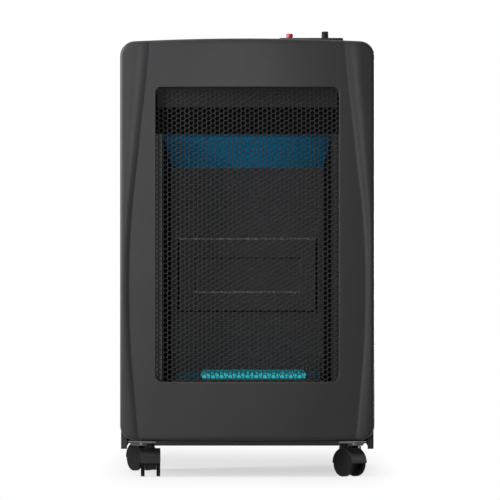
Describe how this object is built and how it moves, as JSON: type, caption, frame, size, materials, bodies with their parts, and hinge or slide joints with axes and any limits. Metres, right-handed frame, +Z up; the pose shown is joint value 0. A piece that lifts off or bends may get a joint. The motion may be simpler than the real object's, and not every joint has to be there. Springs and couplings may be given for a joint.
{
  "type": "portable gas cabinet heater",
  "caption": "Upright dark steel cabinet heater on twin-wheel casters, with a moulded front, a hexagonal guard over a gas firebox, top controls and a lift-off rear cover.",
  "frame": {"origin": "on the floor under the middle of the cabinet", "axes": "+Z up, -Y out of the front panel, +X to the right seen from the front"},
  "size_m": [0.4236, 0.39, 0.7485],
  "materials": {
    "anthracite_paint": "satin dark anthracite powder coat",
    "guard_paint": "satin dark grey paint",
    "sooted_steel": "matt black, sooted",
    "firebox_steel": "heat-proof matt grey",
    "blued_steel": "blued by heat",
    "burner_steel": "satin stainless",
    "brass": "turned",
    "pipe_aluminium": "drawn",
    "copper": "drawn",
    "ceramic": "glazed",
    "black_plastic": "moulded black",
    "red_plastic": "moulded red",
    "white_plastic": "moulded",
    "zinc_steel": "zinc plated",
    "caster_plastic": "moulded black",
    "wheel_plastic": "moulded black"
  },
  "bodies": {
    "cabinet": {"base_plate": "anthracite_paint", "burner_brackets": "firebox_steel", "burner_shelf": "firebox_steel", "burner_tube": "burner_steel", "caster_bolts": "zinc_steel", "caster_plate_front_left": "zinc_steel", "caster_plate_front_right": "zinc_steel", "caster_plate_rear_left": "zinc_steel", "caster_plate_rear_right": "zinc_steel", "caster_rail_front": "zinc_steel", "caster_rail_rear": "zinc_steel", "control_deck": "black_plastic", "firebox_back": "firebox_steel", "firebox_side_left": "firebox_steel", "firebox_side_right": "firebox_steel", "front_guard": "guard_paint", "front_panel": "anthracite_paint", "front_panel_screws": "zinc_steel", "gas_feed_pipe": "pipe_aluminium", "gas_injector": "brass", "gas_tap_body": "brass", "heat_deflector": "blued_steel", "heat_shield": "sooted_steel", "hose_nozzle": "brass", "igniter_body": "black_plastic", "igniter_nut": "black_plastic", "ignition_electrode": "ceramic", "pilot_burner": "burner_steel", "pilot_pipe": "pipe_aluminium", "rear_crossbar": "anthracite_paint", "shield_screws": "zinc_steel", "side_panel_left": "anthracite_paint", "side_panel_right": "anthracite_paint", "thermocouple": "copper", "top_panel": "anthracite_paint", "upper_baffle": "sooted_steel"},
    "cover": {"rear_cover": "anthracite_paint"},
    "igniter_press": {"igniter_button": "red_plastic"},
    "knob_slide": {"knob_thrust_washer": "white_plastic"},
    "knob": {"control_knob": "black_plastic", "tap_spindle": "brass"},
    "caster_front_left": {"caster_hood_front_left": "caster_plastic", "caster_axle_front_left": "zinc_steel"},
    "roller_front_left_a": {"wheel_front_left_a": "wheel_plastic"},
    "roller_front_left_b": {"wheel_front_left_b": "wheel_plastic"},
    "caster_front_right": {"caster_hood_front_right": "caster_plastic", "caster_axle_front_right": "zinc_steel"},
    "roller_front_right_a": {"wheel_front_right_a": "wheel_plastic"},
    "roller_front_right_b": {"wheel_front_right_b": "wheel_plastic"},
    "caster_rear_left": {"caster_hood_rear_left": "caster_plastic", "caster_axle_rear_left": "zinc_steel"},
    "roller_rear_left_a": {"wheel_rear_left_a": "wheel_plastic"},
    "roller_rear_left_b": {"wheel_rear_left_b": "wheel_plastic"},
    "caster_rear_right": {"caster_hood_rear_right": "caster_plastic", "caster_axle_rear_right": "zinc_steel"},
    "roller_rear_right_a": {"wheel_rear_right_a": "wheel_plastic"},
    "roller_rear_right_b": {"wheel_rear_right_b": "wheel_plastic"}
  },
  "joints": [
    {"name": "rear_cover_lift", "type": "slide", "parent": "cabinet", "child": "cover", "axis": [0, 0.03, 0.9996], "range_m": [0, 0.7]},
    {"name": "igniter_push", "type": "slide", "parent": "cabinet", "child": "igniter_press", "axis": [0, 0, -1], "range_m": [0, 0.005], "stiffness_N_per_m": 300, "springref_m": -0.004},
    {"name": "knob_push", "type": "slide", "parent": "cabinet", "child": "knob_slide", "axis": [0, 0, -1], "range_m": [0, 0.003], "stiffness_N_per_m": 800, "springref_m": -0.003},
    {"name": "knob_turn", "type": "hinge", "parent": "knob_slide", "child": "knob", "pos_m": [0.132, 0.07, 0.7325], "axis": [0, 0, 1], "range_deg": [0, 200]},
    {"name": "caster_swivel_front_left", "type": "hinge", "parent": "cabinet", "child": "caster_front_left", "pos_m": [-0.16125, -0.148, 0.05], "axis": [0, 0, 1], "continuous": true},
    {"name": "wheel_roll_front_left_a", "type": "hinge", "parent": "caster_front_left", "child": "roller_front_left_a", "pos_m": [-0.16125, -0.162, 0.0225], "axis": [-1, 0, 0], "continuous": true},
    {"name": "wheel_roll_front_left_b", "type": "hinge", "parent": "caster_front_left", "child": "roller_front_left_b", "pos_m": [-0.16125, -0.162, 0.0225], "axis": [-1, 0, 0], "continuous": true},
    {"name": "caster_swivel_front_right", "type": "hinge", "parent": "cabinet", "child": "caster_front_right", "pos_m": [0.16125, -0.148, 0.05], "axis": [0, 0, 1], "continuous": true},
    {"name": "wheel_roll_front_right_a", "type": "hinge", "parent": "caster_front_right", "child": "roller_front_right_a", "pos_m": [0.17062, -0.1584, 0.0225], "axis": [-0.7431, -0.6691, 0], "continuous": true},
    {"name": "wheel_roll_front_right_b", "type": "hinge", "parent": "caster_front_right", "child": "roller_front_right_b", "pos_m": [0.17062, -0.1584, 0.0225], "axis": [-0.7431, -0.6691, 0], "continuous": true},
    {"name": "caster_swivel_rear_left", "type": "hinge", "parent": "cabinet", "child": "caster_rear_left", "pos_m": [-0.1736, 0.148, 0.05], "axis": [0, 0, 1], "continuous": true},
    {"name": "wheel_roll_rear_left_a", "type": "hinge", "parent": "caster_rear_left", "child": "roller_rear_left_a", "pos_m": [-0.18122, 0.15974, 0.0225], "axis": [0.8387, 0.5446, 0], "continuous": true},
    {"name": "wheel_roll_rear_left_b", "type": "hinge", "parent": "caster_rear_left", "child": "roller_rear_left_b", "pos_m": [-0.18122, 0.15974, 0.0225], "axis": [0.8387, 0.5446, 0], "continuous": true},
    {"name": "caster_swivel_rear_right", "type": "hinge", "parent": "cabinet", "child": "caster_rear_right", "pos_m": [0.1736, 0.148, 0.05], "axis": [0, 0, 1], "continuous": true},
    {"name": "wheel_roll_rear_right_a", "type": "hinge", "parent": "caster_rear_right", "child": "roller_rear_right_a", "pos_m": [0.17603, 0.16179, 0.0225], "axis": [0.9848, -0.1736, 0], "continuous": true},
    {"name": "wheel_roll_rear_right_b", "type": "hinge", "parent": "caster_rear_right", "child": "roller_rear_right_b", "pos_m": [0.17603, 0.16179, 0.0225], "axis": [0.9848, -0.1736, 0], "continuous": true}
  ]
}
